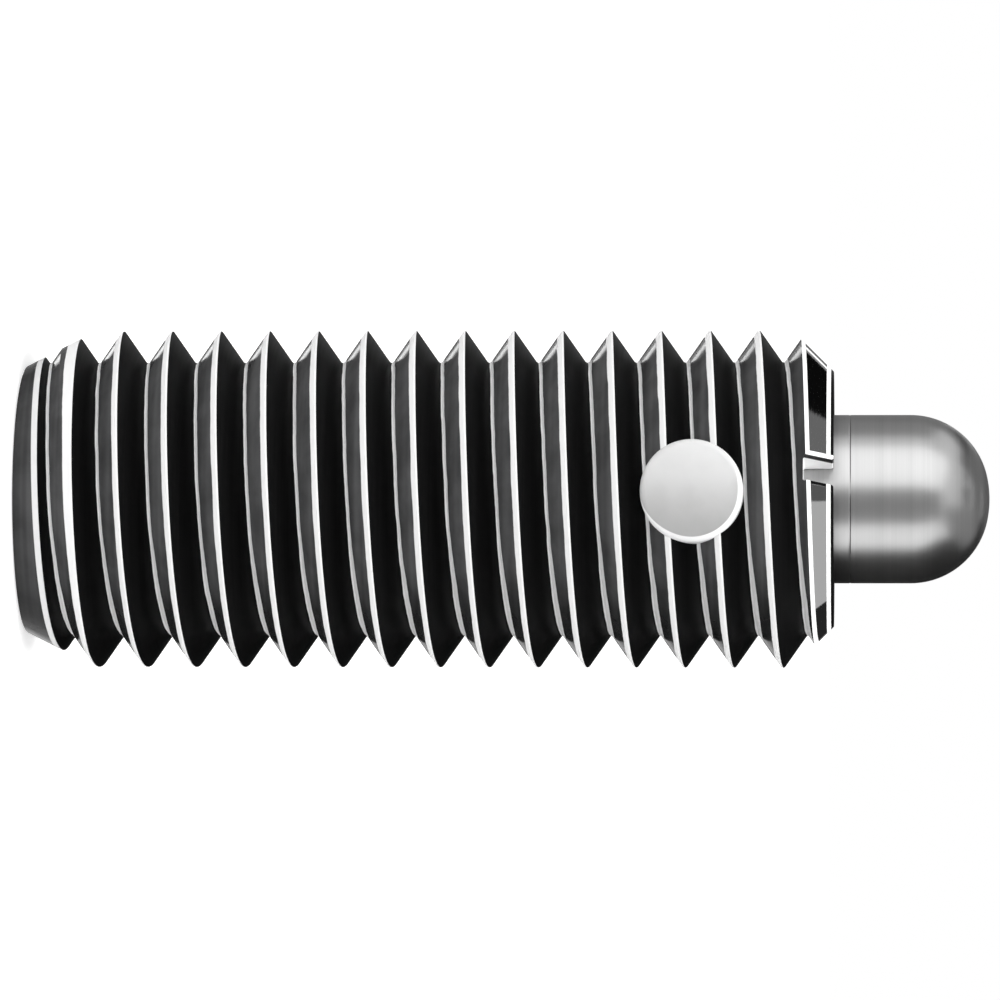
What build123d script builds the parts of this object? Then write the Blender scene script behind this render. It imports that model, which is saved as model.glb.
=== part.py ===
"""Spring plunger with a nylon thread lock, modelled in millimetres.

The plunger stands on its driven end: +Z runs along its axis to the round nose, and the origin is the
centre of the driven end's face. Every piece is written to parts/ as its own STEP file.
"""

import os
from math import asin, ceil, cos, degrees, pi, radians, sin, tan

from build123d import *

# ---------------------------------------------------------------- driving dimensions

# Body: 5/8-11 thread, right-handed, cut over the full length
thread_diameter = 15.875
thread_pitch = 25.4 / 11
crest_share = 0.045  # of the pitch, flat at the crest
root_share = 0.05  # of the pitch, flat at the root
flank_angle = 35.0  # of each flank, from a plane square to the axis
groove_drop = 1.24  # from the nose end's face down to the groove's centre, on the +X side
body_length = 38.1
driven_face_diameter = 12.6  # of the driven end's face, inside its chamfer
nose_face_diameter = 12.0  # of the nose end's face, inside its chamfer
lead_angle = 27.0  # of the driven end's chamfer, from the axis
nose_end_angle = 45.0  # of the nose end's chamfer, from the axis

# Wrench slot across the nose end
slot_width = 1.2
slot_depth = 1.4
slot_turn = 81.0  # degrees from +X

# Pin
nose_diameter = 7.92
nose_reach = 7.3  # from the body's face to the tip, at rest
crown_radius = 5.1  # of the flatter middle of the round nose
crown_spread = 1.03  # of that middle, out from the axis
guide_clearance = 0.04  # radial, in the guide bore
guide_length = 9.5
guide_relief = 0.15  # chamfer at both ends of the guide bore
gauge_groove_rise = 0.7  # above the body's face
gauge_groove_width = 0.12
gauge_groove_depth = 0.06
collar_diameter = 9.5
collar_thickness = 2.4
collar_chamfer = 0.2
undercut_width = 0.6
undercut_depth = 0.2
pilot_length = 3.5
pilot_chamfer = 0.5

# Spring: closed and ground ends
wire_diameter = 1.3
spring_diameter = 9.2  # outside
active_turns = 6
closed_turns = 1  # at each end
closed_gap = 0.04  # between touching turns
ground_tip = 0.25  # of the wire's thickness, left at each end of the wire
pilot_clearance = 0.15  # radial, inside the spring
chamber_clearance = 0.25  # radial, round the spring
arcs_per_turn = 4

# End plug with its hexagon socket
plug_diameter = 10.6
plug_recess = 0.35  # of its outer face, below the driven end
plug_inner_face = 8.0  # height of the face that carries the spring
plug_clearance = 0.01  # radial
lip_overlap = 0.6  # of the rolled lip over the plug's bevel
hexagon_width = 6.35  # across flats
hexagon_depth = 4.8
hexagon_countersink = 0.35
drill_point_angle = 25.0  # of the socket's cone, from a plane square to the axis

# Nylon locking pellet, on the -Y side
pellet_diameter = 4.7625
pellet_drop = 6.51  # of its centre, below the nose end's face
pellet_floor_radius = 5.6  # of the hole's flat floor, from the axis
pellet_stand_out = 0.2  # beyond the thread's crest
pellet_edge = 0.3

# ---------------------------------------------------------------- worked-out sizes

thread_radius = thread_diameter / 2
flank_slope = tan(radians(flank_angle))
thread_depth = thread_pitch * (1 - crest_share - root_share) / 2 / flank_slope
root_radius = thread_radius - thread_depth
driven_face_radius = driven_face_diameter / 2
nose_face_radius = nose_face_diameter / 2
lead_length = (thread_radius - driven_face_radius) / tan(radians(lead_angle))
nose_chamfer_length = (thread_radius - nose_face_radius) / tan(radians(nose_end_angle))

nose_radius = nose_diameter / 2
guide_radius = nose_radius + guide_clearance
shoulder_height = body_length - guide_length  # where the pin's collar stops
collar_radius = collar_diameter / 2
collar_base = shoulder_height - collar_thickness
tip_height = body_length + nose_reach

# The round nose is two tangent arcs: a flatter crown, and a rounder side that meets the shank squarely
crown_angle = degrees(asin(crown_spread / crown_radius))
crown_centre = tip_height - crown_radius
side_radius = crown_radius * (nose_radius - crown_spread) / (crown_radius - crown_spread)
dome_base = crown_centre + (crown_radius - side_radius) * cos(radians(crown_angle))

wire_radius = wire_diameter / 2
coil_radius = spring_diameter / 2 - wire_radius  # of the wire's centreline
pilot_radius = coil_radius - wire_radius - pilot_clearance
chamber_radius = spring_diameter / 2 + chamber_clearance

plug_radius = plug_diameter / 2
plug_bore_radius = plug_radius + plug_clearance
lip_radius = plug_bore_radius - lip_overlap

# Looking square onto the pellet hole's mouth, clear of the thread
pellet_plane = Plane(
    origin=(0, -thread_diameter, body_length - pellet_drop), x_dir=(1, 0, 0), z_dir=(0, -1, 0)
)

# ---------------------------------------------------------------- body


def groove_turn(height):
    """One turn of the thread groove as a solid, its centreline leaving the +X side at this height."""
    half_root = root_share * thread_pitch / 2
    overshoot = crest_share * thread_pitch / 4 / flank_slope  # past the crest, short of the next turn
    half_mouth = half_root + (thread_depth + overshoot) * flank_slope
    corners = [
        (root_radius, -half_root),
        (root_radius, half_root),
        (thread_radius + overshoot, half_mouth),
        (thread_radius + overshoot, -half_mouth),
    ]
    rails = [
        Edge.make_helix(thread_pitch, thread_pitch, radius, center=(0, 0, height + rise))
        for radius, rise in corners
    ]
    walls = [
        Face.make_surface_from_curves(rail, rails[(n + 1) % len(rails)])
        for n, rail in enumerate(rails)
    ]
    ends = [Face(Wire.make_polygon([rail @ end for rail in rails], close=True)) for end in (0, 1)]
    return Solid(Shell(walls + ends))


with BuildPart() as body:
    # Turned blank
    with BuildSketch(Plane.XZ):
        with BuildLine():
            Polyline(
                (0, 0),
                (driven_face_radius, 0),
                (thread_radius, lead_length),
                (thread_radius, body_length - nose_chamfer_length),
                (nose_face_radius, body_length),
                (0, body_length),
                close=True,
            )
        make_face()
    revolve(axis=Axis.Z)

    # Thread, cut turn by turn from above the nose end to below the driven end
    for n in range(-1, ceil(body_length / thread_pitch) + 1):
        add(groove_turn(body_length - groove_drop - n * thread_pitch), mode=Mode.SUBTRACT)

    # Guide bore, spring chamber, plug seat and the lip rolled over the plug
    with BuildSketch(Plane.XZ):
        with BuildLine():
            Polyline(
                (0, 0),
                (lip_radius, 0),
                (lip_radius, plug_recess),
                (plug_bore_radius, plug_recess + lip_overlap),
                (plug_bore_radius, plug_inner_face),
                (chamber_radius, plug_inner_face),
                (chamber_radius, shoulder_height),
                (guide_radius + guide_relief, shoulder_height),
                (guide_radius, shoulder_height + guide_relief),
                (guide_radius, body_length - guide_relief),
                (guide_radius + guide_relief, body_length),
                (0, body_length),
                close=True,
            )
        make_face()
    revolve(axis=Axis.Z, mode=Mode.SUBTRACT)

    # Wrench slot
    with BuildSketch(Plane.XY.offset(body_length)):
        Rectangle(thread_diameter, slot_width, rotation=slot_turn)
    extrude(amount=-slot_depth, mode=Mode.SUBTRACT)

    # Pellet hole
    with BuildSketch(pellet_plane):
        Circle(pellet_diameter / 2)
    extrude(amount=pellet_floor_radius - thread_diameter, mode=Mode.SUBTRACT)

# ---------------------------------------------------------------- pin

with BuildPart() as plunger:
    pilot_end = collar_base - pilot_length
    groove_base = body_length + gauge_groove_rise
    with BuildSketch(Plane.XZ):
        with BuildLine():
            Polyline(
                (0, tip_height),
                (0, pilot_end),
                (pilot_radius - pilot_chamfer, pilot_end),
                (pilot_radius, pilot_end + pilot_chamfer),
                (pilot_radius, collar_base),
                (collar_radius - collar_chamfer, collar_base),
                (collar_radius, collar_base + collar_chamfer),
                (collar_radius, shoulder_height - collar_chamfer),
                (collar_radius - collar_chamfer, shoulder_height),
                (nose_radius - undercut_depth, shoulder_height),
                (nose_radius - undercut_depth, shoulder_height + undercut_width),
                (nose_radius, shoulder_height + undercut_width + undercut_depth),
                (nose_radius, groove_base),
                (nose_radius - gauge_groove_depth, groove_base + gauge_groove_width / 2),
                (nose_radius, groove_base + gauge_groove_width),
                (nose_radius, dome_base),
            )
            CenterArc((nose_radius - side_radius, dome_base), side_radius, 0, 90 - crown_angle)
            CenterArc((0, crown_centre), crown_radius, 90 - crown_angle, crown_angle)
        make_face()
    revolve(axis=Axis.Z)

# ---------------------------------------------------------------- spring


def coil_nodes():
    """The ends of the arcs that make up the wire's centreline, each with its direction there.

    An arc whose ends lie on the coil's cylinder and climb alike rises by the sum of their slopes times
    the radius times the tangent of half its turn, so equal slopes join one arc to the next smoothly.
    """
    count = (active_turns + 2 * closed_turns) * arcs_per_turn
    last_closed = closed_turns * arcs_per_turn
    half_arc = pi / arcs_per_turn
    rise = coil_radius * tan(half_arc)
    closed_slope = (wire_diameter + closed_gap) / (2 * arcs_per_turn * rise)
    tip_sink = wire_diameter * (0.5 - ground_tip)  # of the centreline, past each ground face
    climb = collar_base - plug_inner_face + 2 * tip_sink
    open_joints = count - 2 * last_closed - 1
    open_slope = (climb / rise - (4 * last_closed + 2) * closed_slope) / (2 * open_joints)
    slopes = [
        open_slope if last_closed < n < count - last_closed else closed_slope
        for n in range(count + 1)
    ]
    height = plug_inner_face - tip_sink
    nodes = []
    for n, slope in enumerate(slopes):
        turn = 2 * half_arc * n
        if n > 0:
            height += rise * (slopes[n - 1] + slope)
        point = Vector(coil_radius * cos(turn), coil_radius * sin(turn), height)
        nodes.append((point, Vector(-sin(turn), cos(turn), slope)))
    return nodes


with BuildPart() as spring:
    centreline = coil_nodes()
    with BuildLine() as wire_path:
        for (start, direction), (end, _) in zip(centreline, centreline[1:]):
            TangentArc(start, end, tangent=direction)
    first_point, first_direction = centreline[0]
    with BuildSketch(Plane(origin=first_point, z_dir=first_direction)):
        Circle(wire_radius)
    sweep(path=wire_path.wires()[0])
    # Ground ends
    split(bisect_by=Plane.XY.offset(plug_inner_face), keep=Keep.TOP)
    split(bisect_by=Plane.XY.offset(collar_base), keep=Keep.BOTTOM)

# ---------------------------------------------------------------- end plug

with BuildPart() as end_plug:
    with BuildSketch(Plane.XZ):
        with BuildLine():
            Polyline(
                (0, plug_recess),
                (plug_radius - lip_overlap, plug_recess),
                (plug_radius, plug_recess + lip_overlap),
                (plug_radius, plug_inner_face),
                (0, plug_inner_face),
                close=True,
            )
        make_face()
    revolve(axis=Axis.Z)

    # Hexagon socket, with a countersunk mouth and a drill point
    with BuildSketch(Plane.XY.offset(plug_recess)):
        RegularPolygon(hexagon_width / 2, 6, major_radius=False)
    extrude(amount=hexagon_depth, mode=Mode.SUBTRACT)
    half_width = hexagon_width / 2
    mouth_radius = half_width / cos(pi / 6)
    socket_floor = plug_recess + hexagon_depth
    with BuildSketch(Plane.XZ):
        with BuildLine():
            Polyline(
                (0, plug_recess),
                (mouth_radius, plug_recess),
                (mouth_radius - hexagon_countersink, plug_recess + hexagon_countersink),
                (half_width - hexagon_countersink, plug_recess + hexagon_countersink),
                (half_width - hexagon_countersink, socket_floor),
                (0, socket_floor + (half_width - hexagon_countersink) * tan(radians(drill_point_angle))),
                close=True,
            )
        make_face()
    revolve(axis=Axis.Z, mode=Mode.SUBTRACT)

# ---------------------------------------------------------------- locking pellet

with BuildPart() as locking_pellet:
    with BuildSketch(pellet_plane.offset(pellet_floor_radius - thread_diameter)):
        Circle(pellet_diameter / 2)
    extrude(amount=thread_radius + pellet_stand_out - pellet_floor_radius)
    fillet(locking_pellet.edges().sort_by(Axis.Y)[0], pellet_edge)

# ---------------------------------------------------------------- export

body.part.label = "body"
plunger.part.label = "plunger"
spring.part.label = "spring"
end_plug.part.label = "end_plug"
locking_pellet.part.label = "locking_pellet"

os.makedirs("parts", exist_ok=True)
export_step(body.part, "parts/body.step")
export_step(plunger.part, "parts/plunger.step")
export_step(spring.part, "parts/spring.step")
export_step(end_plug.part, "parts/end_plug.step")
export_step(locking_pellet.part, "parts/locking_pellet.step")
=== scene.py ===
"""Looks of a spring plunger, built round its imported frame.

The threaded sleeve, the ground pin, the coil spring and the nylon pellet are surfaces worked out with
numpy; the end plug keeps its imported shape. Lengths are metres, and +Z runs along the axis to the nose.
"""

import logging
import math
from collections.abc import Iterator, Sequence
from contextlib import contextmanager
from dataclasses import dataclass
from enum import Enum
from functools import partial, reduce

import bmesh
import bpy
import numpy as np
from bpy.types import Material, Mesh, Node, NodeSocket, NodeTree, Object
from mathutils import Matrix, Vector


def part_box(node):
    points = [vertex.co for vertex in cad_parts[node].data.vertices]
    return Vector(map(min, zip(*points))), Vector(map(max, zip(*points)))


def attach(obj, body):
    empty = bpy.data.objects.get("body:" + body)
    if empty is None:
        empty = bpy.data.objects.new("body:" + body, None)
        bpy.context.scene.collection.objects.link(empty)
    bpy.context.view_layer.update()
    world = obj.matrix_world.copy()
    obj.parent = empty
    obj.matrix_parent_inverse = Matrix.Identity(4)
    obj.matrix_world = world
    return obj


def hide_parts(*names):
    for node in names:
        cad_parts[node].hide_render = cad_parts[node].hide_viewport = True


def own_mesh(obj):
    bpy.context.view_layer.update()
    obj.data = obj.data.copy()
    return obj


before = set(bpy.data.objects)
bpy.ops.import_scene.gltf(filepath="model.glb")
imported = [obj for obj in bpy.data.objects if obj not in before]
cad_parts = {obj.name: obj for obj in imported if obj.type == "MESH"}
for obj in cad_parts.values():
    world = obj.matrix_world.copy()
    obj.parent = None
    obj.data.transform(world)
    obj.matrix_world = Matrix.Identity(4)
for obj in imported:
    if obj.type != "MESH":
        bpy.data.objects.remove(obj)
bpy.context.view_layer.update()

Colour = tuple[float, float, float, float]
Span = tuple[float, float]

log = logging.getLogger("spring_plunger")

MM = 0.001
WHITE = (1.0, 1.0, 1.0, 1.0)


# ---- surfaces


def angles(count: int) -> np.ndarray:
    """Even angles round a full turn, from 0."""
    return np.arange(count) * 2 * np.pi / count


def stacked(*coordinates: np.ndarray) -> np.ndarray:
    """Joins arrays of coordinates into an array of points."""
    return np.stack(coordinates, axis=-1)


def grid_faces(rows: int, columns: int, closed: bool = True) -> np.ndarray:
    """Quads between successive rows of vertices.

    Args:
        rows: How many rows there are.
        columns: How many vertices each row has.
        closed: Whether a row's last vertex is followed by its first.

    Returns:
        Vertex numbers, four to a face.
    """
    row, column = np.mgrid[0 : rows - 1, 0 : columns if closed else columns - 1]
    following = (column + 1) % columns
    corners = (
        row * columns + column,
        row * columns + following,
        (row + 1) * columns + following,
        (row + 1) * columns + column,
    )
    return stacked(*corners).reshape(-1, 4)


def rounded_outline(points: Sequence[tuple[float, float, float]], steps: int = 3) -> np.ndarray:
    """An outline whose corners are arcs.

    Each corner of radius q is cut back by q / tan(half its inner angle) along both sides, and the arc
    between the cuts is the circle that touches both. A corner that hardly turns stays a point.

    Args:
        points: Corners as (radius from the axis, height, corner radius), in order.
        steps: Spans in each corner's arc.

    Returns:
        Points of the outline, as (radius from the axis, height).
    """
    nearly_straight = math.radians(89)
    corners = np.array([p[:2] for p in points], float)
    radii = [p[2] for p in points[1:-1]]
    outline = [corners[:1]]
    for before, at, after, round_by in zip(corners, corners[1:], corners[2:], radii):
        back, ahead = before - at, after - at
        back, ahead = back / np.linalg.norm(back), ahead / np.linalg.norm(ahead)
        half = math.acos(float(np.clip(back @ ahead, -1, 1))) / 2
        if round_by == 0 or half > nearly_straight:
            outline.append(at[None])
            continue
        inward = (back + ahead) / np.linalg.norm(back + ahead)
        centre = at + inward * round_by / math.sin(half)
        start = at + back * round_by / math.tan(half) - centre
        end = at + ahead * round_by / math.tan(half) - centre
        turn = math.pi - 2 * half
        share = np.linspace(0, 1, steps + 1)[:, None]
        arc = (np.sin((1 - share) * turn) * start + np.sin(share * turn) * end) / math.sin(turn)
        outline.append(centre + arc)
    outline.append(corners[-1:])
    return np.vstack(outline)


def turned(outline: np.ndarray, columns: int) -> tuple[np.ndarray, np.ndarray]:
    """The surface of revolution of an outline: (r, z) goes to (r cos a, r sin a, z).

    Args:
        outline: Points as (radius from the axis, height).
        columns: Vertices round the axis.

    Returns:
        Vertices and faces.
    """
    angle = angles(columns)
    radius, height = outline.T
    across = radius[:, None] * np.stack((np.cos(angle), np.sin(angle)))[:, None, :]
    vertices = stacked(*across, np.broadcast_to(height[:, None], across[0].shape))
    return vertices.reshape(-1, 3), grid_faces(len(radius), columns)


def add_object(name: str, data: bpy.types.ID) -> Object:
    """Puts data into a new object of the scene."""
    item = bpy.data.objects.new(name, data)
    bpy.context.scene.collection.objects.link(item)
    return item


def make_object(name: str, vertices: np.ndarray, faces: Sequence[Sequence[int]]) -> Object:
    """A new mesh object at the origin, of points in metres and the vertex numbers of each face."""
    mesh = bpy.data.meshes.new(name)
    mesh.from_pydata(vertices.tolist(), [], [list(map(int, face)) for face in faces])
    return add_object(name, mesh)


def make_sheet(name: str, width: float, height: float) -> Object:
    """A new rectangle in the XY plane, centred on the origin."""
    corners = np.array([(-1, -1, 0), (1, -1, 0), (1, 1, 0), (-1, 1, 0)]) * (width / 2, height / 2, 0)
    return make_object(name, corners, [(0, 1, 2, 3)])


@contextmanager
def editing(mesh: Mesh) -> Iterator[bmesh.types.BMesh]:
    """Opens a mesh for editing and writes it back."""
    work = bmesh.new()
    work.from_mesh(mesh)
    yield work
    work.to_mesh(mesh)
    work.free()


def tidy(item: Object, smooth_below: float = 32.0, distance: float = 2e-8) -> Object:
    """Merges vertices that coincide, turns faces outwards and shades all but the sharp edges smooth.

    Args:
        item: The mesh object.
        smooth_below: Edges that turn by less than these degrees stay smooth.
        distance: Vertices nearer than this are one.

    Returns:
        The same object.
    """
    with editing(item.data) as work:
        bmesh.ops.remove_doubles(work, verts=work.verts, dist=distance)
        bmesh.ops.dissolve_degenerate(work, edges=work.edges, dist=distance)
        bmesh.ops.recalc_face_normals(work, faces=work.faces)
    item.data.shade_smooth()
    item.data.set_sharp_from_angle(angle=math.radians(smooth_below))
    return item


class Cut(Enum):
    """How one solid shapes another."""

    KEEP_COMMON = "INTERSECT"
    TAKE_AWAY = "DIFFERENCE"


def carve(item: Object, tool: Object, cut: Cut) -> None:
    """Shapes a closed mesh with another and deletes the tool.

    Args:
        item: The mesh that is shaped.
        tool: The mesh that shapes it.
        cut: Which part stays.
    """
    step = item.modifiers.new("cut", "BOOLEAN")
    step.operation = cut.value
    step.solver = "EXACT"
    step.object = tool
    shaped = bpy.data.meshes.new_from_object(item.evaluated_get(bpy.context.evaluated_depsgraph_get()))
    item.modifiers.clear()
    old, item.data = item.data, shaped
    bpy.data.meshes.remove(old)
    bpy.data.objects.remove(tool)
    item.data.name = item.name


# ---- the parts


@dataclass(frozen=True)
class ThreadForm:
    """A right-handed V thread with narrow flats at its crests and roots."""

    crest_radius: float = 7.9375 * MM
    pitch: float = 25.4 / 11 * MM
    crest_share: float = 0.045
    root_share: float = 0.05
    flank_angle: float = math.radians(35.0)
    groove_drop: float = 1.24 * MM  # of the groove's centre on the +X side, below the nose end's face
    crest_round: float = 0.07 * MM
    root_round: float = 0.09 * MM

    @property
    def depth(self) -> float:
        """How far the roots lie below the crests."""
        return self.pitch * (1 - self.crest_share - self.root_share) / 2 / math.tan(self.flank_angle)

    @property
    def root_radius(self) -> float:
        """Radius of the groove's floor."""
        return self.crest_radius - self.depth

    def turn_outline(self) -> np.ndarray:
        """One pitch of the profile, from the middle of a root to the middle of the next.

        Returns:
            Points as (radius, height above the first root's middle).
        """
        half_root = self.root_share * self.pitch / 2
        half_crest = self.crest_share * self.pitch / 2
        half = self.pitch / 2
        corners = (
            (self.root_radius, 0, 0),
            (self.root_radius, half_root, self.root_round),
            (self.crest_radius, half - half_crest, self.crest_round),
            (self.crest_radius, half + half_crest, self.crest_round),
            (self.root_radius, self.pitch - half_root, self.root_round),
            (self.root_radius, self.pitch, 0),
        )
        return rounded_outline(corners)


def facing_front(vertices: np.ndarray, height: float) -> np.ndarray:
    """Lays a shape turned about Z onto the -Y direction: z becomes -y, y becomes z plus the height."""
    x, y, z = vertices.T
    return stacked(x, -z, y + height)


@dataclass
class ThreadedSleeve:
    """The threaded body, with its chamfers, slot, pellet hole and bores."""

    length: float
    form: ThreadForm = ThreadForm()
    columns: int = 160
    driven_face_radius: float = 6.3 * MM
    nose_face_radius: float = 6.0 * MM
    lead_angle: float = math.radians(27.0)
    guide_radius: float = 4.0 * MM
    guide_relief: float = 0.15 * MM
    shoulder_height: float = 28.6 * MM
    chamber_radius: float = 4.85 * MM
    seat_height: float = 8.0 * MM
    plug_bore_radius: float = 5.31 * MM
    lip_radius: float = 4.71 * MM
    plug_recess: float = 0.35 * MM
    slot_width: float = 1.2 * MM
    slot_depth: float = 1.4 * MM
    slot_turn: float = math.radians(81.0)
    slot_ease: float = 0.06 * MM
    slot_reach: float = 12.0 * MM
    pellet_radius: float = 2.38125 * MM
    pellet_height: float = 31.59 * MM
    pellet_floor: float = 5.6 * MM
    pellet_reach: float = 10.0 * MM
    pellet_columns: int = 96
    edge_round: float = 0.07 * MM
    mouth_round: float = 0.03 * MM
    spare: float = 1.0 * MM  # by which the rod and the blank reach past what stays

    def thread_surface(self) -> Object:
        """The thread as a closed rod that reaches past both ends.

        A point of the grid has an angle and a place on the profile's repeats. Its height is the place
        plus pitch * angle / full turn, held between two far planes, and its radius is the profile's at
        that height less the climb. A column's last rows meet the first column's a pitch further up.

        Returns:
            The rod.
        """
        form = self.form
        turn = form.turn_outline()
        per_pitch = len(turn) - 1
        low, high = -self.spare, self.length + self.spare
        base = (self.length - form.groove_drop) % form.pitch
        first = base - form.pitch * (math.ceil((base - low) / form.pitch) + 1)
        repeats = math.ceil((high - first) / form.pitch) + 1
        place = (turn[:-1, 1] + form.pitch * np.arange(repeats)[:, None]).ravel() + first
        angle = angles(self.columns)
        climb = form.pitch * angle / (2 * np.pi)
        height = np.clip(place[:, None] + climb, low, high)
        radius = np.interp((height - climb - base) % form.pitch, turn[:, 1], turn[:, 0])
        grid = stacked(radius * np.cos(angle), radius * np.sin(angle), height).reshape(-1, 3)
        rows, columns = height.shape
        seam_row = np.arange(rows - 1 - per_pitch)
        last, beyond = seam_row * columns + columns - 1, (seam_row + per_pitch) * columns
        seam = stacked(last, beyond, beyond + columns, last + columns)
        faces = np.vstack((grid_faces(rows, columns, closed=False), seam)).tolist()
        faces += [range(columns - 1, -1, -1), range((rows - 1) * columns, rows * columns)]
        return tidy(make_object("thread_rod", grid, faces))

    def blank_surface(self) -> Object:
        """The turned blank with its bores, as a ring that the thread is cut down to.

        The outline is closed, so vertex numbers past the last ring start again at the first.

        Returns:
            The ring.
        """
        far = self.form.crest_radius + self.spare
        lead = (far - self.driven_face_radius) / math.tan(self.lead_angle)
        edge, mouth = self.edge_round, self.mouth_round
        bore, relief = self.guide_radius, self.guide_relief
        seat = self.plug_recess + self.plug_bore_radius - self.lip_radius
        middle = (self.shoulder_height + self.seat_height) / 2
        corners = (
            (self.chamber_radius, middle, 0),
            (self.chamber_radius, self.seat_height, 0),
            (self.plug_bore_radius, self.seat_height, 0),
            (self.plug_bore_radius, seat, 0),
            (self.lip_radius, self.plug_recess, 0),
            (self.lip_radius, 0, edge),
            (self.driven_face_radius, 0, edge),
            (far, lead, 0),
            (far, self.length - (far - self.nose_face_radius), 0),
            (self.nose_face_radius, self.length, edge),
            (bore + relief, self.length, mouth),
            (bore, self.length - relief, mouth),
            (bore, self.shoulder_height + relief, 0),
            (bore + relief, self.shoulder_height, 0),
            (self.chamber_radius, self.shoulder_height, 0),
            (self.chamber_radius, middle, 0),
        )
        outline = rounded_outline(corners)[:-1]
        vertices, _ = turned(outline, self.columns)
        faces = grid_faces(len(outline) + 1, self.columns) % len(vertices)
        return tidy(make_object("turned_blank", vertices, faces))

    def slot_cutter(self) -> Object:
        """A bar across the nose end whose mouth is a little wider, carried straight through.

        Returns:
            The bar.
        """
        floor, mouth, half = self.length - self.slot_depth, self.length, self.slot_width / 2
        ease = self.slot_ease
        wide = half + 2 * ease
        side = ((half - ease, floor), (half, floor + ease), (half, mouth - ease), (wide, mouth + ease))
        side += ((wide, mouth + self.spare),)
        section = np.array(side + tuple((-x, z) for x, z in side[::-1]))
        across, lengthwise = np.meshgrid(section[:, 0], (-self.slot_reach, self.slot_reach))
        heights = np.broadcast_to(section[:, 1], across.shape)
        c, s = math.cos(self.slot_turn), math.sin(self.slot_turn)
        grid = stacked(lengthwise * c - across * s, lengthwise * s + across * c, heights)
        count = len(section)
        faces = grid_faces(2, count).tolist() + [range(count), range(2 * count - 1, count - 1, -1)]
        return tidy(make_object("slot_bar", grid.reshape(-1, 3), faces))

    def pellet_cutter(self) -> Object:
        """A rod square to the axis that opens the pellet's hole.

        Returns:
            The rod.
        """
        radius, floor, end = self.pellet_radius, self.pellet_floor, self.pellet_reach
        outline = np.array([(0, floor), (radius, floor), (radius, end), (0, end)])
        vertices, faces = turned(outline, self.pellet_columns)
        return tidy(make_object("pellet_rod", facing_front(vertices, self.pellet_height), faces))

    def part_chamfers(self, sleeve: Object, within: float = 2e-6) -> None:
        """Marks the chamfers' borders sharp, also where a flank or an edge's arc meets them flatly.

        A face lies on a chamfer if its corners are on that cone: radius + height = nose face radius +
        length at the nose end, and radius - height * tan(lead angle) = driven face radius at the other.

        Args:
            sleeve: The finished mesh.
            within: How far a corner may lie from the cone.
        """
        with editing(sleeve.data) as work:
            chamfer = {}
            for face in work.faces:
                x, y, height = np.array([corner.co for corner in face.verts]).T
                radius = np.hypot(x, y)
                nose = radius + height - self.nose_face_radius - self.length
                lead = radius - height * math.tan(self.lead_angle) - self.driven_face_radius
                chamfer[face] = tuple(np.abs(gap).max() < within for gap in (nose, lead))
            for edge in work.edges:
                if len({chamfer[face] for face in edge.link_faces}) > 1:
                    edge.smooth = False

    def build(self) -> Object:
        """Cuts the thread down to the blank and opens the slot and the hole.

        Returns:
            The sleeve.
        """
        sleeve = self.thread_surface()
        carve(sleeve, self.blank_surface(), Cut.KEEP_COMMON)
        carve(sleeve, self.slot_cutter(), Cut.TAKE_AWAY)
        carve(sleeve, self.pellet_cutter(), Cut.TAKE_AWAY)
        sleeve.name = sleeve.data.name = "threaded_sleeve"
        tidy(sleeve, smooth_below=30.0, distance=1e-7)
        self.part_chamfers(sleeve)
        return sleeve


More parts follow.
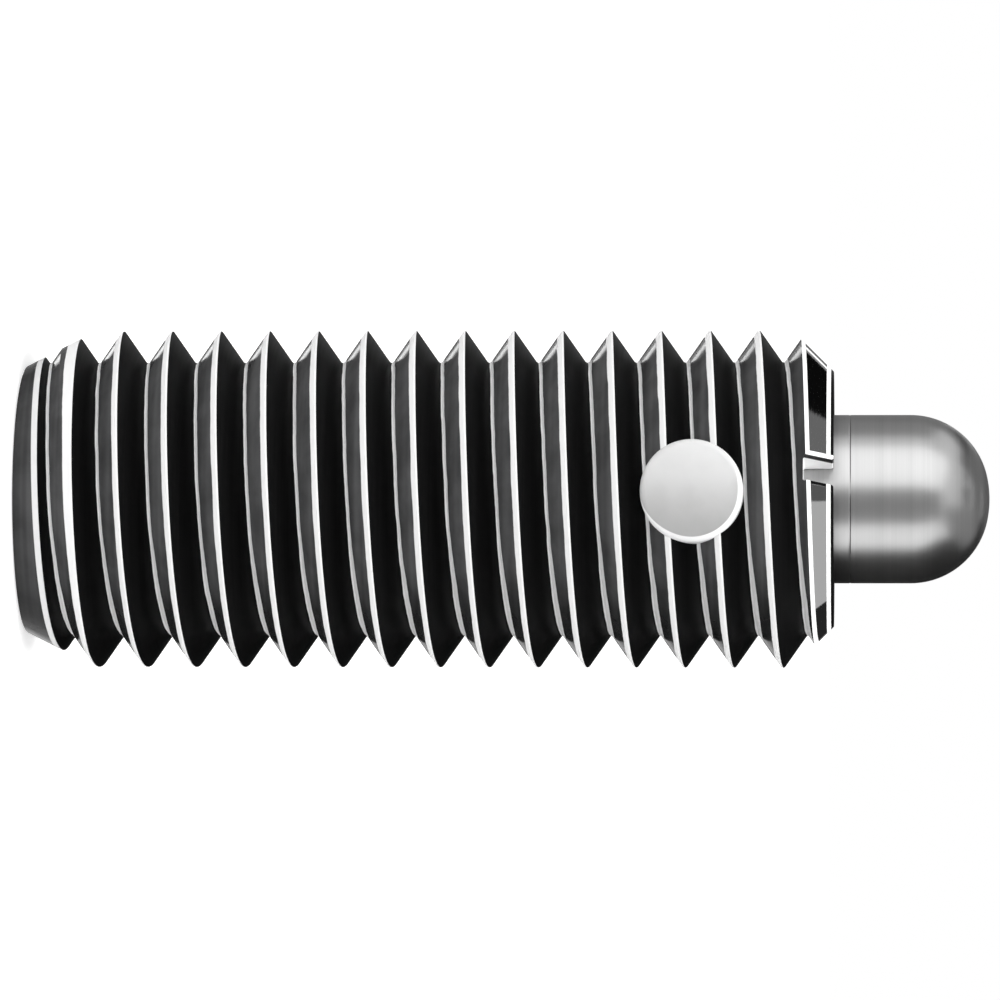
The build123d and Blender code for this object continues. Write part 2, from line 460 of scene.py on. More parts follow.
@dataclass
class RoundNosedPin:
    """The ground pin: pilot, collar, undercut, nose with its gauge groove, and dome."""

    tip: float
    face: float
    columns: int = 144
    nose_radius: float = 3.96 * MM
    groove_rise: float = 0.7 * MM
    groove_width: float = 0.1 * MM
    groove_depth: float = 0.018 * MM
    groove_round: float = 0.02 * MM
    collar_radius: float = 4.75 * MM
    collar_height: Span = (26.2 * MM, 28.6 * MM)
    collar_chamfer: float = 0.2 * MM
    undercut: Span = (0.6 * MM, 0.2 * MM)
    pilot_radius: float = 3.15 * MM
    pilot_end: float = 22.7 * MM
    pilot_chamfer: float = 0.5 * MM
    pilot_round: float = 0.1 * MM
    edge_round: float = 0.05 * MM
    crown_radius: float = 5.1 * MM
    crown_spread: float = 1.03 * MM
    dome_steps: int = 30

    def dome(self) -> np.ndarray:
        """The dome's outline: a side arc that leaves the shank squarely, then a flatter crown.

        The crown, of radius R, spans an angle t = arcsin(spread / R) from the axis. The side arc touches
        both it and the shank, so its radius is R * (nose radius - spread) / (R - spread).

        Returns:
            Points as (radius from the axis, height), from the shank to the tip.
        """
        crown, spread = self.crown_radius, self.crown_spread
        span = math.asin(spread / crown)
        side = crown * (self.nose_radius - spread) / (crown - spread)
        base = self.tip - crown + (crown - side) * math.cos(span)
        angle = np.linspace(0, math.pi / 2 - span, self.dome_steps)
        centre = self.nose_radius - side
        rounder = stacked(centre + side * np.cos(angle), base + side * np.sin(angle))
        angle = np.linspace(math.pi / 2 - span, math.pi / 2, self.dome_steps // 4)[1:]
        flatter = stacked(crown * np.cos(angle), self.tip - crown + crown * np.sin(angle))
        flatter[-1, 0] = 0
        return np.vstack((rounder, flatter))

    def build(self) -> Object:
        """Turns the pin's outline.

        Returns:
            The pin.
        """
        radius, (low, high) = self.nose_radius, self.collar_height
        width, depth = self.undercut
        groove, groove_width = self.face + self.groove_rise, self.groove_width
        pilot, collar, bevel = self.pilot_radius, self.collar_radius, self.collar_chamfer
        edge, fine = self.edge_round, self.groove_round
        corners = (
            (0, self.pilot_end, 0),
            (pilot - self.pilot_chamfer, self.pilot_end, self.pilot_round),
            (pilot, self.pilot_end + self.pilot_chamfer, self.pilot_round),
            (pilot, low, 0),
            (collar - bevel, low, edge),
            (collar, low + bevel, edge),
            (collar, high - bevel, edge),
            (collar - bevel, high, edge),
            (radius - depth, high, edge),
            (radius - depth, high + width, edge),
            (radius, high + width + depth, edge),
            (radius, groove, fine),
            (radius - self.groove_depth, groove + groove_width / 2, fine),
            (radius, groove + groove_width, fine),
            (radius, groove + 4 * groove_width, 0),
        )
        outline = np.vstack((rounded_outline(corners), self.dome()))
        return tidy(make_object("round_nosed_pin", *turned(outline, self.columns)), smooth_below=25.0)


@dataclass
class CoilSpring:
    """A spring with closed and ground ends, between the plug and the pin's collar."""

    seat: float
    top: float
    wire_radius: float = 0.65 * MM
    coil_radius: float = 3.95 * MM
    turns: int = 8
    closed_turns: int = 1
    closed_climb: float = 1.34 * MM
    easing_turns: float = 0.25
    ground_tip: float = 0.25
    steps_per_turn: int = 56
    sides: int = 20

    def build(self) -> Object:
        """Carries the wire's circle along the coil.

        The centreline's height is the running sum of a climb rate that is the closed one in the end
        turns, and over a quarter of a turn eases into the one that fills the height between. Points
        past either ground face are brought back onto it along the axis.

        Returns:
            The spring.
        """
        count = self.turns * self.steps_per_turn
        turn = np.arange(count + 1) / self.steps_per_turn
        nearer_end = np.minimum(turn, self.turns - turn) - self.closed_turns
        open_share = np.clip(nearer_end / self.easing_turns, 0, 1)
        sink = 2 * self.wire_radius * (0.5 - self.ground_tip)
        closed = self.closed_climb * turn
        extra = np.concatenate(((0,), np.cumsum((open_share[1:] + open_share[:-1]) / 2)))
        missing = self.top - self.seat + 2 * sink - closed[-1]
        height = self.seat - sink + closed + extra / extra[-1] * missing
        angle = 2 * np.pi * turn
        out = stacked(np.cos(angle), np.sin(angle), np.zeros_like(angle))
        slope = np.gradient(height, angle) / self.coil_radius
        run = stacked(-np.sin(angle), np.cos(angle), slope)
        run /= np.linalg.norm(run, axis=1, keepdims=True)
        up = np.cross(out, run)
        centre = self.coil_radius * out + height[:, None] * (0, 0, 1)
        around = angles(self.sides)[:, None]
        circle = np.cos(around) * out[:, None] + np.sin(around) * up[:, None]
        grid = centre[:, None] + self.wire_radius * circle
        grid[..., 2] = np.clip(grid[..., 2], self.seat, self.top)
        faces = grid_faces(count + 1, self.sides).tolist()
        faces += [range(self.sides - 1, -1, -1), range(count * self.sides, (count + 1) * self.sides)]
        return tidy(make_object("coil_spring", grid.reshape(-1, 3), faces), smooth_below=40.0)


@dataclass
class NylonPellet:
    """The locking pellet: a plug of nylon with a rolled edge and a faintly crowned face."""

    radius: float
    centre_height: float
    floor: float
    face: float = 8.1375 * MM
    edge: float = 0.3 * MM
    floor_round: float = 0.1 * MM
    crown: float = 0.15 * MM
    columns: int = 96

    def build(self) -> Object:
        """Turns the outline about the pellet's own axis; the face falls by the square of the radius.

        Returns:
            The pellet.
        """
        share = np.linspace(1, 0, 9)[1:]
        flat, shoulder = self.radius - self.edge, self.face - self.crown
        crowned = stacked(flat * share, self.face - self.crown * share**2)
        corners = (
            (0, self.floor, 0),
            (self.radius, self.floor, self.floor_round),
            (self.radius, shoulder, self.edge * 0.98),  # the arc ends just before the crown starts
            (flat, shoulder, 0),
        )
        outline = np.vstack((rounded_outline(corners, steps=8), crowned))
        outline[-1, 0] = 0
        vertices, faces = turned(outline, self.columns)
        laid = facing_front(vertices, self.centre_height)
        return tidy(make_object("nylon_pellet", laid, faces), smooth_below=40.0)


# ---- materials


class Graph:
    """Short calls that fill one node tree."""

    def __init__(self, tree: NodeTree) -> None:
        """Starts with an empty tree."""
        self.tree = tree
        tree.nodes.clear()

    def node(self, kind: str, *values: object, **settings: object) -> Node:
        """Adds a shader node, feeds its first inputs with the values and sets its properties."""
        made = self.tree.nodes.new("ShaderNode" + kind)
        for key, setting in settings.items():
            setattr(made, key, setting)
        for target, value in zip(made.inputs, values):
            self.feed(target, value)
        return made

    def feed(self, target: NodeSocket, value: object) -> None:
        """Links a socket to a target, or writes a plain value on it; None leaves it alone."""
        if isinstance(value, NodeSocket):
            self.tree.links.new(value, target)
        elif value is not None:
            target.default_value = value

    def fill(self, made: Node, **values: object) -> Node:
        """Feeds a node's inputs by name, with underscores for spaces."""
        for key, value in values.items():
            self.feed(made.inputs[key.replace("_", " ")], value)
        return made

    def maths(self, operation: str, *values: object) -> NodeSocket:
        """The result of one Math node."""
        return self.node("Math", *values, operation=operation).outputs[0]

    def less(self, first: object, second: object) -> NodeSocket:
        """The first value less the second."""
        return self.maths("SUBTRACT", first, second)

    def times(self, *values: object) -> NodeSocket:
        """The product of two or more values."""
        return reduce(partial(self.maths, "MULTIPLY"), values)

    def most(self, *values: object) -> NodeSocket:
        """The highest of two or more values."""
        return reduce(partial(self.maths, "MAXIMUM"), values)

    def hypot(self, first: object, second: object) -> NodeSocket:
        """The root of the sum of two values' squares."""
        squares = [self.maths("POWER", side, 2.0) for side in (first, second)]
        return self.maths("SQRT", self.maths("ADD", *squares))

    def ramp(self, value: object, *limits: object) -> NodeSocket:
        """A smooth step over a value's low and high limit, from 0 to 1 or between the next two limits."""
        return self.node("MapRange", value, *limits, interpolation_type="SMOOTHSTEP").outputs["Result"]

    def fade(self, value: object, span: Span, origin: float = 0.0) -> NodeSocket:
        """A smooth step from 0 to 1 over a span that is counted from an origin."""
        return self.ramp(value, origin + span[0], origin + span[1])

    def blend(self, share: object, first: object, second: object) -> NodeSocket:
        """A colour between two, by share; a Mix node's colours are its inputs 6 and 7."""
        return self.node("Mix", share, *[None] * 5, first, second, data_type="RGBA").outputs[2]

    def level(self, share: object, first: object, second: object) -> NodeSocket:
        """A number between two, by share."""
        return self.node("Mix", share, None, first, second, data_type="FLOAT").outputs[0]

    def place(self) -> NodeSocket:
        """The shaded point in its object's own coordinates."""
        return self.node("TexCoord").outputs["Object"]

    def place_xyz(self) -> tuple[NodeSocket, ...]:
        """The x, y and z of that point."""
        return tuple(self.node("SeparateXYZ", self.place()).outputs)

    def noise(self, vector: object, **values: object) -> NodeSocket:
        """A noise in three dimensions, with its other inputs given by name."""
        return self.fill(self.node("TexNoise"), Vector=vector, **values).outputs[0]

    def group(self, effect: NodeTree, **values: object) -> bpy.types.NodeOutputs:
        """Places a node group, with its inputs given by name, and gives its outputs."""
        return self.fill(self.node("Group", node_tree=effect), **values).outputs


class Effect(Graph):
    """A node group's graph, with number sockets."""

    def __init__(self, name: str, inputs: dict[str, float], outputs: Sequence[str]) -> None:
        """Starts the group with those outputs, and with inputs at their starting values."""
        super().__init__(bpy.data.node_groups.new(name, "ShaderNodeTree"))
        add = partial(self.tree.interface.new_socket, socket_type="NodeSocketFloat")
        for key, value in inputs.items():
            add(name=key, in_out="INPUT").default_value = value
        for key in outputs:
            add(name=key, in_out="OUTPUT")
        self.given = self.tree.nodes.new("NodeGroupInput").outputs
        self.result = self.tree.nodes.new("NodeGroupOutput").inputs


def turning_marks() -> NodeTree:
    """Fine rings left by turning or grinding, square to the axis.

    A noise is squeezed along Z by Lines and hardly at all across it, so that its cells become rings that
    fade in and out as they go round. Marks is 0 to 1 and averages a half.

    Returns:
        The node group.
    """
    graph = Effect("turning_marks", {"Lines": 9000.0, "Wander": 60.0}, ("Marks", "Faint"))
    wander, lines = graph.given["Wander"], graph.given["Lines"]
    stretch = graph.node("CombineXYZ", wander, wander, lines).outputs[0]
    squeezed = graph.node("VectorMath", graph.place(), stretch, operation="MULTIPLY").outputs[0]
    fine = graph.noise(squeezed, Scale=1.0, Detail=3.0, Roughness=0.7)
    graph.feed(graph.result["Marks"], graph.ramp(fine, 0.25, 0.75))
    broad = graph.noise(squeezed, Scale=0.17, Detail=1.0)
    graph.feed(graph.result["Faint"], graph.ramp(broad, 0.3, 0.7))
    return graph.tree


def clouds() -> NodeTree:
    """Soft uneven patches, such as an oxide's depth or the haze of handling, from 0 to 1.

    Returns:
        The node group.
    """
    graph = Effect("clouds", {"Scale": 400.0, "Contrast": 0.5}, ("Mask",))
    noise = graph.noise(graph.place(), Scale=graph.given["Scale"], Detail=4.0)
    low = graph.times(graph.less(1.0, graph.given["Contrast"]), 0.5)
    graph.feed(graph.result["Mask"], graph.ramp(noise, low, graph.less(1.0, low)))
    return graph.tree


def thread_map(sleeve: ThreadedSleeve) -> NodeTree:
    """Where a point lies on the thread's profile.

    The height above the groove's centre is z - base - pitch * angle / full turn, folded into one pitch,
    so it is 0 at a root and half a pitch at a crest. Rise is that folded height: above zero on the flank
    that faces the driven end, below zero on the one that faces the nose. Radius is the sharp thread's
    radius there, Distance the point's own, and Height its z.

    Args:
        sleeve: The threaded sleeve.

    Returns:
        The node group.
    """
    form = sleeve.form
    graph = Effect("thread_map", {}, ("Rise", "Radius", "Distance", "Height"))
    x, y, z = graph.place_xyz()
    climb = graph.times(graph.maths("ARCTAN2", y, x), form.pitch / math.tau)
    height = graph.less(graph.less(z, sleeve.length - form.groove_drop), climb)
    folded = graph.maths("WRAP", height, form.pitch / 2, -form.pitch / 2)
    flank = graph.less(graph.maths("ABSOLUTE", folded), form.root_share * form.pitch / 2)
    risen = graph.maths("DIVIDE", graph.most(flank, 0.0), math.tan(form.flank_angle))
    radius = graph.maths("MINIMUM", graph.maths("ADD", risen, form.root_radius), form.crest_radius)
    for target, value in zip(graph.result, (folded, radius, graph.hypot(x, y), z)):
        graph.feed(target, value)
    return graph.tree


@dataclass(frozen=True)
class Effects:
    """The node groups that the materials share."""

    marks: NodeTree
    clouds: NodeTree
    thread: NodeTree


@dataclass(frozen=True)
class Metal:
    """Numbers for a plain metal finish."""

    colour: Colour
    dull_colour: Colour
    roughness: Span
    lines: float
    bump: float
    rings: float = 500.0  # how much closer the lines are than their wander
    faint_share: float = 0.45
    haze_share: float = 0.4


@dataclass(frozen=True)
class Nylon:
    """Numbers for the pellet's milky nylon."""

    pale: Colour = (0.74, 0.74, 0.74, 1)
    # painted shade: the face's colour towards +X
    painted_shade: Colour = (0.36, 0.36, 0.358, 1)
    # painted highlight: the colour of the rim
    rim: Colour = (0.86, 0.86, 0.86, 1)
    cloudiness: float = 0.08
    roughness: Span = (0.4, 0.5)
    bump: float = 0.003 * MM
    # the painted rim highlight is wider on one side
    lean: float = 0.6  # of the side where the rim is wider, up the axis against across it
    lean_span: Span = (-1.6 * MM, 1.6 * MM)
    rim_growth: float = 0.25 * MM
    rim_span: Span = (-0.015 * MM, 0.015 * MM)  # past the pellet's radius


BRIGHT_STEEL = Metal((0.48, 0.48, 0.48, 1), (0.4, 0.4, 0.4, 1), (0.28, 0.34), 9000.0, 0.0008 * MM)
SPRING_STEEL = Metal((0.4, 0.4, 0.41, 1), (0.26, 0.26, 0.27, 1), (0.25, 0.4), 2500.0, 0.001 * MM)
PLUG_STEEL = Metal((0.16, 0.16, 0.165, 1), (0.08, 0.08, 0.083, 1), (0.3, 0.45), 6000.0, 0.002 * MM)


class Finish(Graph):
    """A new material's graph, whose shader is wired to its output."""

    def __init__(self, name: str, kind: str = "BsdfPrincipled") -> None:
        """Starts the material with that shader."""
        self.material = bpy.data.materials.new(name)
        self.material.use_nodes = True
        super().__init__(self.material.node_tree)
        self.shader = self.node(kind)
        self.node("OutputMaterial", self.shader.outputs[0])

    def bump(self, height: object, distance: float) -> None:
        """Feeds a height to the shader's Normal; a height of 1 stands up by that distance."""
        bump = self.fill(self.node("Bump"), Strength=1.0, Distance=distance, Height=height)
        self.fill(self.shader, Normal=bump.outputs[0])


class BlackOxide(Finish):
    """Black oxide, rubbed bare and painted with highlights along the thread's crests, its roots and the
    nose end's edges, with painted light greying the faces towards the driven end.

    A mask fades from 0 to 1 over its pair of lengths.
    """

    dark = (0.0018, 0.0018, 0.0019, 1), (0.0045, 0.0045, 0.0046, 1)
    # painted light: the lighter grey given to the flanks and chamfer that face the driven end
    painted_light_grey = (0.05, 0.05, 0.051, 1), (0.12, 0.12, 0.122, 1)
    # rubbed bare metal and painted highlight on crests, roots and the nose end's edges; also the
    # cutter-bright slot walls
    bare_and_highlight_white = (0.96, 0.96, 0.96, 1)
    machined = (0.95, 0.95, 0.95, 1)
    oxide_roughness = 0.4, 0.1  # of the black and of the grey
    ring_roughness = 0.06
    bare_and_highlight_roughness = 0.5
    machined_roughness = 0.05
    specular = 0.06
    ring_height = 0.0003 * MM
    # Rise: the flank that faces the driven end, a root's painted highlight line and, from its middle, a
    # crest's line, rubbed bare and widened by painted highlight on that flank
    back_flank = -0.02 * MM, 0.05 * MM
    root_start = -0.005 * MM, 0.015 * MM
    root_end = 0.175 * MM, 0.15 * MM
    crest_start = -0.29 * MM, -0.265 * MM
    crest_end = 0.035 * MM, 0.015 * MM
    waver = 0.04 * MM
    # Gaps to the sharp thread and the chamfers, and how far the driven end's chamfer cuts a crest
    at_thread = 0.06 * MM, 0.03 * MM
    at_lead = 0.04 * MM, 0.02 * MM
    at_nose = -0.03 * MM, -0.012 * MM
    cut_crest = 0.56 * MM, 0.53 * MM
    # Sideways: where painted shade darkens the painted grey flanks, and where the roots' painted
    # highlight lines widen
    painted_shade_side = 3.0 * MM, 6.2 * MM
    light_kept_in_painted_shade = 0.25
    highlight_widening_side = 1.5 * MM, 6.5 * MM
    root_highlight_growth = 0.16 * MM
    # Along the axis: up from the driven end, up from the nose end's face, and down from it
    lead_top = 3.3 * MM, 3.2 * MM
    nose_foot = -2.2 * MM, -2.1 * MM
    slot_floor = -1.46 * MM, -1.43 * MM
    # painted shade: a dark band on the chamfer just under the nose end's face
    brink = 0.14 * MM, 0.12 * MM
    face_line = 0.33 * MM, 0.31 * MM
    # Off the slot's middle: to the left, to the right, to either side; and in from its mouth
    near_side = 0.0, 0.1 * MM
    slot_line = 0.82 * MM, 0.8 * MM
    far_side = 0.0, -0.1 * MM
    # painted shade: the slot's far edge is kept dark
    slot_brink = -0.76 * MM, -0.74 * MM
    in_slot = 0.66 * MM, 0.63 * MM
    # painted shadow: the slot's walls stay dark this far in from the mouth
    past_mouth = -0.8 * MM, -0.9 * MM
    # The painted highlight line round the thread on the nose end's chamfer: its reach on either flank,
    # and its edge
    thread_reach = 0.08 * MM, 0.46 * MM
    thread_line = 0.0, -0.02 * MM

    def __init__(self, sleeve: ThreadedSleeve, effects: Effects) -> None:
        """Starts the material and finds where the shaded point lies.

        Args:
            sleeve: The threaded sleeve.
            effects: The shared node groups.
        """
        super().__init__("black_oxide")
        self.sleeve, self.length, self.half_pitch = sleeve, sleeve.length, sleeve.form.pitch / 2
        self.rise, self.sharp, self.distance, self.height = self.group(effects.thread)
        self.marks, self.faint = self.group(effects.marks, Lines=14000.0, Wander=60.0)
        self.patches = self.group(effects.clouds, Scale=500.0, Contrast=0.45)["Mask"]
        self.x = self.place_xyz()[0]
        self.backward = self.fade(self.rise, self.back_flank)
        self.on_thread = self.fade(self.less(self.sharp, self.distance), self.at_thread)
        slope, foot = math.tan(sleeve.lead_angle), sleeve.driven_face_radius
        self.lead = self.maths("MULTIPLY_ADD", self.height, slope, foot)
        lead_gap = self.maths("ABSOLUTE", self.less(self.lead, self.distance))
        low_down = self.fade(self.height, self.lead_top)
        self.on_lead = self.times(self.fade(lead_gap, self.at_lead), low_down)
        # painted light: where the faces towards the driven end are painted lighter grey
        self.painted_light_share = self.most(self.times(self.backward, self.on_thread), self.on_lead)
        self.build()

    def oxide(self) -> NodeSocket:
        """The colour of the oxide.

        The flanks that face the driven end, and that end's chamfer, are painted greyer, as light from
        that side would show them, less so towards +X, where painted shade darkens them.

        Returns:
            The colour.
        """
        painted_light_grey = self.blend(self.level(0.5, self.faint, self.patches), *self.painted_light_grey)
        dark = self.blend(self.marks, *self.dark)
        # painted shade: the painted grey fades towards +X
        side_light_share = self.ramp(self.x, *self.painted_shade_side, 1.0, self.light_kept_in_painted_shade)
        return self.blend(self.times(self.painted_light_share, side_light_share), dark, painted_light_grey)

    def rubbed_and_highlit_thread(self) -> NodeSocket:
        """Crests and roots rubbed bare, with painted highlights down the crests' sides towards the driven
        end and along the roots, wider towards +X, wavering a little along the thread.

        Where the driven end's chamfer cuts a crest down, the new edge is rubbed bare and painted bright
        as well.

        Returns:
            The mask.
        """
        along = self.maths("ADD", self.rise, self.times(self.less(self.patches, 0.5), self.waver))
        crest = self.most(
            self.fade(along, self.crest_start, self.half_pitch),
            self.fade(self.rise, self.crest_end, -self.half_pitch),
        )
        # painted highlight: the roots' lines widen towards +X
        wider = self.times(self.fade(self.x, self.highlight_widening_side), self.root_highlight_growth)
        root_end = self.fade(self.less(along, wider), self.root_end)
        root = self.times(self.fade(along, self.root_start), root_end)
        lines = self.times(self.most(crest, root), self.on_thread)
        cut_down = self.fade(self.less(self.sharp, self.lead), self.cut_crest)
        towards_nose = self.most(crest, self.less(1.0, self.backward))
        return self.most(lines, self.times(cut_down, towards_nose, self.on_lead))

    def beside_slot(self) -> NodeSocket:
        """How far a point lies to the left of the slot's middle plane, looking along the slot."""
        left = (-math.sin(self.sleeve.slot_turn), math.cos(self.sleeve.slot_turn), 0)
        return self.node("VectorMath", self.place(), left, operation="DOT_PRODUCT").outputs["Value"]

    def nose_end(self) -> tuple[NodeSocket, ...]:
        """The nose end's chamfer, its brink painted dark as shade, its edges rubbed bare and painted as
        highlight lines, and the slot.

        The slot's walls are bright from the cutter, but for a band at the mouth painted dark as shadow.

        Returns:
            Masks of the chamfer, the painted dark brink, and what is bare of oxide, painted highlights
            included.
        """
        past_cone = self.less(self.height, self.length + self.sleeve.nose_face_radius)
        cone_gap = self.maths("ADD", past_cone, self.distance)
        above_foot = self.fade(self.height, self.nose_foot, self.length)
        on_cone = self.times(self.fade(cone_gap, self.at_nose), above_foot)
        below_face = self.less(self.length, self.height)
        # painted shade line under the face, then a rubbed-bare line painted as a highlight
        brink = self.fade(below_face, self.brink)
        face_line = self.times(self.fade(below_face, self.face_line), self.less(1.0, brink))
        beside = self.beside_slot()
        # near side of the slot painted as a highlight line, far side painted dark as shade
        slot_line = self.times(self.fade(beside, self.slot_line), self.fade(beside, self.near_side))
        far_brink = self.times(self.fade(beside, self.slot_brink), self.fade(beside, self.far_side))
        to_thread = self.maths("ABSOLUTE", self.maths("ADD", past_cone, self.sharp))
        reach = self.level(self.backward, *self.thread_reach)
        # painted highlight round the thread, wider on the flanks that face the driven end
        thread_line = self.fade(self.less(to_thread, reach), self.thread_line)
        worn_and_highlit = self.times(self.most(face_line, slot_line, thread_line), on_cone)
        # cutter-bright slot walls, with a band at the mouth left dark as painted shadow
        cut = self.times(
            self.fade(self.maths("ABSOLUTE", beside), self.in_slot),
            self.fade(self.height, self.slot_floor, self.length),
            self.fade(cone_gap, self.past_mouth),
        )
        return on_cone, self.most(brink, far_brink), self.most(worn_and_highlit, cut)

    def build(self) -> None:
        """Feeds the shader from the masks."""
        on_cone, brink, worn_and_highlit = self.nose_end()
        # bare metal and painted highlights take the bright colour
        bare_and_highlit = self.most(self.rubbed_and_highlit_thread(), worn_and_highlit)
        machined = self.times(on_cone, self.less(1.0, self.most(bare_and_highlit, brink)))
        satin = self.level(self.painted_light_share, *self.oxide_roughness)
        ringed = self.maths("MULTIPLY_ADD", self.marks, self.ring_roughness, satin)
        rough = self.level(bare_and_highlit, ringed, self.bare_and_highlight_roughness)
        self.fill(
            self.shader,
            Base_Color=self.blend(machined, self.blend(bare_and_highlit, self.oxide(), self.bare_and_highlight_white), self.machined),
            Metallic=machined,
            Roughness=self.level(machined, rough, self.machined_roughness),
            Specular_IOR_Level=self.specular,
        )
        self.bump(self.marks, self.ring_height)


class Finishes:
    """The materials, made from effects that they share."""

    def __init__(self, sleeve: ThreadedSleeve, pellet: NylonPellet) -> None:
        """Builds the effects once and each material from them.

        Args:
            sleeve: The threaded sleeve.
            pellet: The locking pellet.
        """
        self.effects = Effects(turning_marks(), clouds(), thread_map(sleeve))
        self.oxide = BlackOxide(sleeve, self.effects).material
        self.steel = self.metal("ground_steel", BRIGHT_STEEL)
        self.spring = self.metal("spring_steel", SPRING_STEEL)
        self.plug = self.metal("plug_steel", PLUG_STEEL)
        self.nylon = self.white_nylon(pellet)

    def metal(self, name: str, finish: Metal) -> Material:
        """A turned or drawn metal with fine rings and a little haze.

        Args:
            name: The material's name.
            finish: Its numbers.

        Returns:
            The material.
        """
        look = Finish(name)
        wander = finish.lines / finish.rings
        marks, faint = look.group(self.effects.marks, Lines=finish.lines, Wander=wander)
        haze = look.group(self.effects.clouds, Scale=900.0, Contrast=0.4)["Mask"]
        faint = look.times(faint, finish.faint_share)
        shade = look.maths("MULTIPLY_ADD", marks, 1 - finish.faint_share, faint)
        rings = look.times(marks, 1 - finish.haze_share)
        rough = look.maths("MULTIPLY_ADD", haze, finish.haze_share, rings)
        look.fill(
            look.shader,
            Base_Color=look.blend(shade, finish.dull_colour, finish.colour),
            Roughness=look.level(rough, *finish.roughness),
            Metallic=1.0,
        )
        look.bump(marks, finish.bump)
        return look.material

    def white_nylon(self, pellet: NylonPellet) -> Material:
        """Milky nylon, with a painted highlight along its rim, wider to one side, and painted shade that
        darkens its face towards +X.

        Args:
            pellet: The locking pellet.

        Returns:
            The material.
        """
        look, finish = Finish("white_nylon"), Nylon()
        patches = look.group(self.effects.clouds, Scale=700.0, Contrast=0.3)["Mask"]
        x, _, z = look.place_xyz()
        rise = look.less(z, pellet.centre_height)
        slant = look.maths("ADD", x, look.times(rise, finish.lean))
        leaning = look.fade(slant, finish.lean_span)
        rim = look.maths("MULTIPLY_ADD", leaning, finish.rim_growth, look.hypot(x, rise))
        # painted highlight along the rim, wider to one side
        rim_highlight = look.fade(rim, finish.rim_span, pellet.radius)
        # painted shade, darker towards +X
        painted_shade = look.ramp(x, -pellet.radius, pellet.radius)
        face = look.blend(look.level(finish.cloudiness, painted_shade, patches), finish.pale, finish.painted_shade)
        look.fill(
            look.shader,
            Base_Color=look.blend(rim_highlight, face, finish.rim),
            Roughness=look.level(patches, *finish.roughness),
        )
        look.bump(patches, finish.bump)
        return look.material


# ---- the stage


@dataclass(frozen=True)
class Panel:
    """A rectangle that faces the object: its place in degrees and metres, and its size."""

    name: str
    azimuth: float
    elevation: float
    distance: float
    width: float
    height: float


@dataclass(frozen=True)
class Softbox(Panel):
    """A lamp."""

    power: float
    mirrored: bool = True


@dataclass(frozen=True)
class Flag(Panel):
    """A dark or pale card that only reflections see, turned in its own plane by some degrees."""

    shade: float
    turn: float = 0.0


def toward(azimuth: float, elevation: float) -> Vector:
    """The direction at degrees round from -Y towards +X, and degrees up."""
    a, e = math.radians(azimuth), math.radians(elevation)
    return Vector((math.sin(a) * math.cos(e), -math.cos(a) * math.cos(e), math.sin(e)))


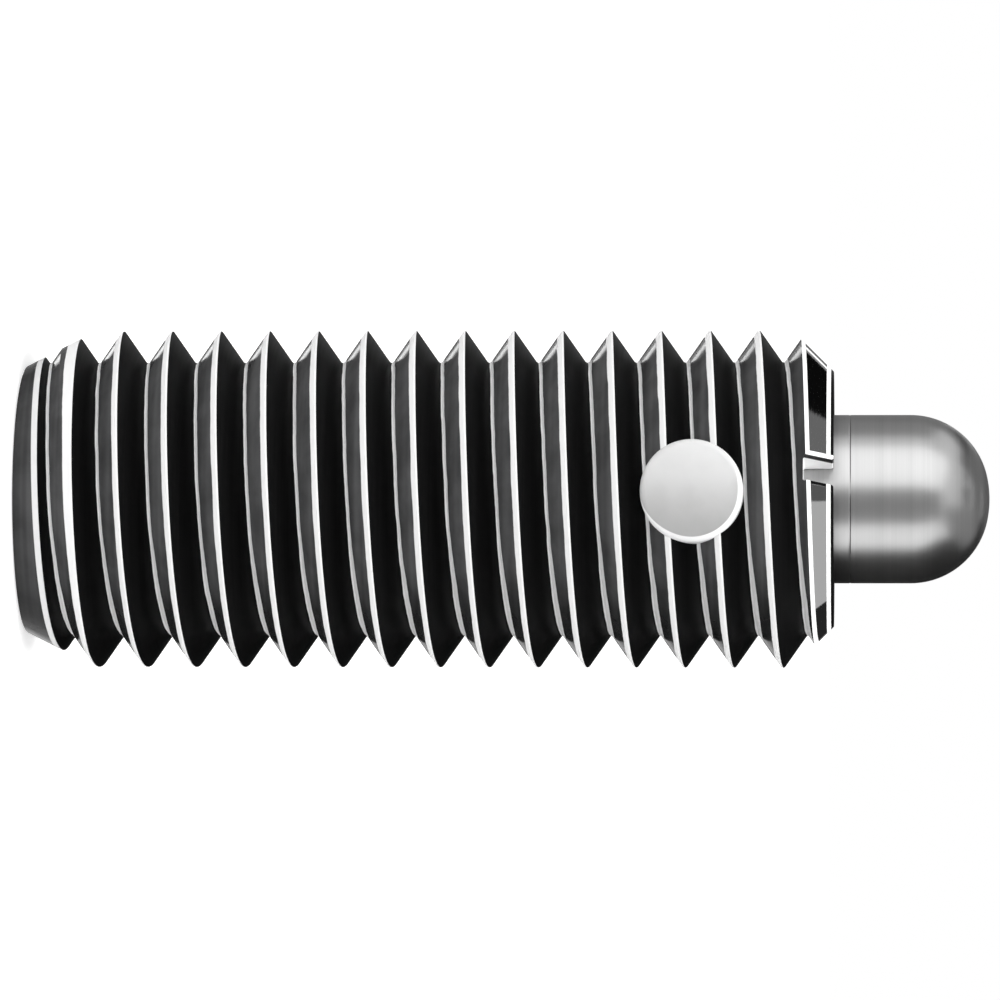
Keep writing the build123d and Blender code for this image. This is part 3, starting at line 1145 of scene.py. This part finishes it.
@dataclass
class Studio:
    """Camera, floor, lamps, flags and world, set round the point that camera and lamps look at."""

    target: Vector

    softboxes = (
        Softbox("softbox_left", -44.0, 6.0, 0.45, 0.51, 0.85, 1.42),
        Softbox("softbox_right", 55.0, 6.0, 0.45, 0.275, 0.85, 0.53),
        Softbox("softbox_above", 10.0, 78.0, 0.5, 0.34, 0.34, 2.7, mirrored=False),
    )
    flags = (
        Flag("flag_front", 12.2, 4.0, 0.4, 0.36, 0.7, 0.37),
        Flag("flag_low_left", -111.5, -4.0, 1.03, 0.715, 0.97, 0.36),
        Flag("flag_high_left", -137.2, 38.9, 0.9, 1.0, 0.105, 0.003, turn=50.4),
        Flag("line_high_left", -162.8, 13.9, 0.95, 0.167, 0.085, 1.2, turn=-49.0),
        Flag("line_low_left", -164.0, -22.2, 0.95, 0.18, 0.12, 3.6, turn=34.7),
        Flag("flag_upper_left", -111.5, 64.8, 0.95, 0.43, 0.13, 0.13, turn=64.0),
        Flag("flag_behind", -148.0, 12.0, 1.05, 0.71, 1.76, 0.25),
        Flag("flag_rear", -176.2, 10.0, 1.08, 0.39, 1.7, 0.14),
        Flag("flag_behind_right", 126.0, 20.0, 1.0, 2.37, 1.43, 0.018),
        Flag("flag_below", -165.0, -50.0, 1.05, 1.7, 0.965, 0.03),
        Flag("flag_high_behind", 180.0, 64.0, 0.98, 1.44, 0.4, 0.2),
        Flag("flag_high_right", 95.0, 66.0, 0.9, 1.45, 0.52, 0.4),
        Flag("flag_zenith_left", -90.0, 84.7, 0.864, 0.25, 0.185, 0.09),
        Flag("flag_zenith_right", 90.0, 83.9, 0.865, 0.25, 0.16, 0.4),
    )
    camera_side = (2.9, 3.06)
    camera_distance = 0.328
    camera_lens = 250.3
    floor_size = 12.0
    floor_gap = 0.02 * MM
    floor_shades = ((0.80, 0.80, 0.80, 1), (0.84, 0.84, 0.84, 1))
    shadow_reach = (0.1, 0.8)
    shadow_lift = 0.62
    ambient = 0.38

    def facing(self, panel: Panel) -> Matrix:
        """A panel's place, with its -Z looking at the target."""
        away = toward(panel.azimuth, panel.elevation)
        turn = away.to_track_quat("Z", "Y").to_matrix().to_4x4()
        return Matrix.Translation(self.target + away * panel.distance) @ turn

    def camera(self) -> None:
        """A long lens, turned so that the object's axis lies across the picture."""
        back = toward(*self.camera_side)
        across = (Vector((0, 0, 1)) - back * back.z).normalized()
        turn = Matrix((across, back.cross(across), back)).transposed().to_4x4()
        data = bpy.data.cameras.new("camera")
        data.sensor_width, data.lens = 36.0, self.camera_lens
        item = add_object("camera", data)
        item.matrix_world = Matrix.Translation(self.target + back * self.camera_distance) @ turn
        bpy.context.scene.camera = item

    def lamps(self) -> None:
        """The soft boxes."""
        for box in self.softboxes:
            data = bpy.data.lights.new(box.name, "AREA")
            data.shape, data.energy = "RECTANGLE", box.power
            data.size, data.size_y = box.width, box.height
            item = add_object(box.name, data)
            item.matrix_world = self.facing(box)
            item.visible_camera = False
            item.visible_glossy = box.mirrored

    def cards(self) -> None:
        """The flags, seen by reflections and nothing else."""
        for flag in self.flags:
            card = make_sheet(flag.name, flag.width, flag.height)
            card.data.transform(self.facing(flag) @ Matrix.Rotation(math.radians(flag.turn), 4, "Z"))
            for ray in ("camera", "diffuse", "shadow", "transmission"):
                setattr(card, f"visible_{ray}", False)
            look = Finish(flag.name, "Emission")
            look.fill(look.shader, Color=(flag.shade, flag.shade, flag.shade, 1))
            card.data.materials.append(look.material)

    def seen(self, graph: Graph) -> NodeSocket:
        """1 for the rays that look at the surroundings: from the camera, or by way of metal or glass."""
        path = graph.node("LightPath").outputs
        return graph.most(*(path[f"Is {kind} Ray"] for kind in ("Camera", "Glossy", "Transmission")))

    def floor(self) -> None:
        """A wide pale floor, a hair below the object, lifted to white where it is looked at.

        It is lifted less near the object, and so keeps the shadow there.
        """
        floor = make_sheet("floor", self.floor_size, self.floor_size)
        floor.data.transform(Matrix.Translation((0, 0, -self.floor_gap)))
        look = Finish("floor")
        patches = look.noise(look.place(), Scale=6.0)
        away = look.node("VectorMath", look.place(), operation="LENGTH").outputs["Value"]
        lift = look.ramp(away, *self.shadow_reach, self.shadow_lift, 1.0)
        look.fill(
            look.shader,
            Base_Color=look.blend(patches, *self.floor_shades),
            Roughness=0.9,
            Specular_IOR_Level=0.0,
            Emission_Color=WHITE,
            Emission_Strength=look.times(self.seen(look), lift),
        )
        floor.data.materials.append(look.material)
        floor.visible_glossy = False

    def world(self) -> None:
        """White where it is looked at, and a plain grey light elsewhere."""
        world = bpy.data.worlds.new("world")
        world.use_nodes = True
        graph = Graph(world.node_tree)
        strength = graph.level(self.seen(graph), self.ambient, 1.0)
        sky = graph.node("Background", WHITE, strength)
        graph.node("OutputWorld", sky.outputs[0])
        bpy.context.scene.world = world

    def build(self) -> None:
        """Sets the whole stage and the plain view transform."""
        self.camera()
        self.lamps()
        self.cards()
        self.floor()
        self.world()
        bpy.context.scene.view_settings.view_transform = "Standard"


# ---- the set


def main() -> None:
    """Builds the pieces, dresses them and sets the stage."""
    logging.basicConfig(level=logging.INFO, format="%(name)s: %(message)s")
    _, body_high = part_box("body")
    _, pin_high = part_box("plunger")
    spring_low, spring_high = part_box("spring")
    sleeve = ThreadedSleeve(body_high.z)
    pin = RoundNosedPin(pin_high.z, sleeve.length)
    spring = CoilSpring(spring_low.z, spring_high.z)
    pellet = NylonPellet(sleeve.pellet_radius, sleeve.pellet_height, sleeve.pellet_floor)
    finishes = Finishes(sleeve, pellet)
    new_pieces = (
        (sleeve, "sleeve", "body", "black_oxide_steel", finishes.oxide),
        (pin, "pin", "plunger", "bright_steel", finishes.steel),
        (spring, "sleeve", "spring", "spring_steel", finishes.spring),
        (pellet, "sleeve", "locking_pellet", "white_nylon", finishes.nylon),
    )
    for maker, body, node, slot, material in new_pieces:
        piece = maker.build()
        piece.data.materials.clear()
        piece.data.materials.append(material)
        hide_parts(node)
        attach(piece, body)
        if isinstance(maker, CoilSpring):
            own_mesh(piece)
        log.info("%s: %d faces on %s", piece.name, len(piece.data.polygons), body)
    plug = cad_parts["end_plug"]
    for holder in plug.material_slots:
        holder.material = finishes.plug
    Studio(Vector((0.04 * MM, 0, 22.36 * MM))).build()


if __name__ == "__main__":
    main()
